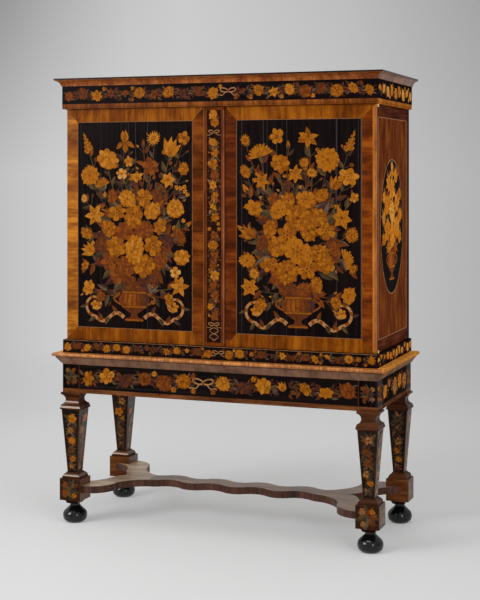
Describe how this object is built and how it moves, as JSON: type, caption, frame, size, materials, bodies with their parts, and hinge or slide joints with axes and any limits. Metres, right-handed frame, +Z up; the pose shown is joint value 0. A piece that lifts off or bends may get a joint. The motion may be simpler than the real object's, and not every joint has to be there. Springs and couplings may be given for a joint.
{
  "type": "cabinet on stand",
  "caption": "Cabinet on an open stand: panelled, floral-inlaid doors hung on pivots over shelves, moulded cornice, tapered square legs, bun feet and a serpentine stretcher",
  "frame": {"origin": "on the floor, under the middle of the cabinet's overall width and depth", "axes": "+Z up, the doors face -Y, +X is to the right of someone facing the doors"},
  "size_m": [1.368, 0.572, 1.782],
  "materials": {
    "oak": "plain waxed oak of the carcase",
    "side_veneer": "polished red-brown veneer with an oval and light stringing",
    "moulding_veneer": "polished cross-grained red-brown veneer",
    "inlaid_ebony": "polished black veneer inlaid with flowers and leaves",
    "cross_banding": "polished orange-brown cross-banding",
    "inlaid_legs": "polished black and red-brown veneer with inlay",
    "stretcher_veneer": "satin brown veneer with red-brown edges",
    "black_polish": "glossy black polish",
    "brass": "worn brass",
    "iron": "dark blacksmith's iron"
  },
  "bodies": {
    "case": {"apron_back": "oak", "apron_front": "inlaid_ebony", "apron_left": "inlaid_ebony", "apron_right": "inlaid_ebony", "back_boards": "oak", "base_band_front": "inlaid_ebony", "base_band_left": "inlaid_ebony", "base_band_right": "inlaid_ebony", "bead_front": "moulding_veneer", "bead_left": "moulding_veneer", "bead_right": "moulding_veneer", "bun_feet": "black_polish", "case_bottom": "oak", "case_left_side": "side_veneer", "case_right_side": "side_veneer", "case_top": "oak", "cornice_front": "moulding_veneer", "cornice_left": "moulding_veneer", "cornice_right": "moulding_veneer", "dust_board": "oak", "frieze_front": "inlaid_ebony", "frieze_left": "inlaid_ebony", "frieze_right": "inlaid_ebony", "leg_back_left": "inlaid_legs", "leg_back_right": "inlaid_legs", "leg_block_back_left": "inlaid_legs", "leg_block_back_right": "inlaid_legs", "leg_block_front_left": "inlaid_legs", "leg_block_front_right": "inlaid_legs", "leg_front_left": "inlaid_legs", "leg_front_right": "inlaid_legs", "pivot_sockets": "brass", "shelf_battens": "oak", "shelves": "oak", "stand_moulding_front": "moulding_veneer", "stand_moulding_left": "moulding_veneer", "stand_moulding_right": "moulding_veneer", "stand_top": "oak", "stretcher_bar": "stretcher_veneer", "stretcher_fork_left": "stretcher_veneer", "stretcher_fork_right": "stretcher_veneer"},
    "left_door": {"left_door_panel": "inlaid_ebony", "left_door_hinge_stile": "cross_banding", "left_door_meeting_stile": "cross_banding", "left_door_top_rail": "cross_banding", "left_door_bottom_rail": "cross_banding", "closing_strip": "inlaid_ebony", "left_door_pivots": "brass", "lock_case": "iron"},
    "right_door": {"right_door_panel": "inlaid_ebony", "right_door_hinge_stile": "cross_banding", "right_door_meeting_stile": "cross_banding", "right_door_top_rail": "cross_banding", "right_door_bottom_rail": "cross_banding", "right_door_pivots": "brass", "right_door_staples": "iron"},
    "lock_bolt": {"lock_bolt": "iron"},
    "upper_bolt": {"upper_bolt": "iron"},
    "lower_bolt": {"lower_bolt": "iron"}
  },
  "joints": [
    {"name": "left_door_hinge", "type": "hinge", "parent": "case", "child": "left_door", "pos_m": [-0.642, -0.212, 1.1975], "axis": [0, 0, -1], "range_deg": [0, 175]},
    {"name": "right_door_hinge", "type": "hinge", "parent": "case", "child": "right_door", "pos_m": [0.642, -0.212, 1.1975], "axis": [0, 0, 1], "range_deg": [0, 175]},
    {"name": "lock_bolt_slide", "type": "slide", "parent": "left_door", "child": "lock_bolt", "axis": [1, 0, 0], "range_m": [0, 0.014]},
    {"name": "upper_bolt_slide", "type": "slide", "parent": "right_door", "child": "upper_bolt", "axis": [0, 0, 1], "range_m": [0, 0.014]},
    {"name": "lower_bolt_slide", "type": "slide", "parent": "right_door", "child": "lower_bolt", "axis": [0, 0, -1], "range_m": [0, 0.014]}
  ]
}
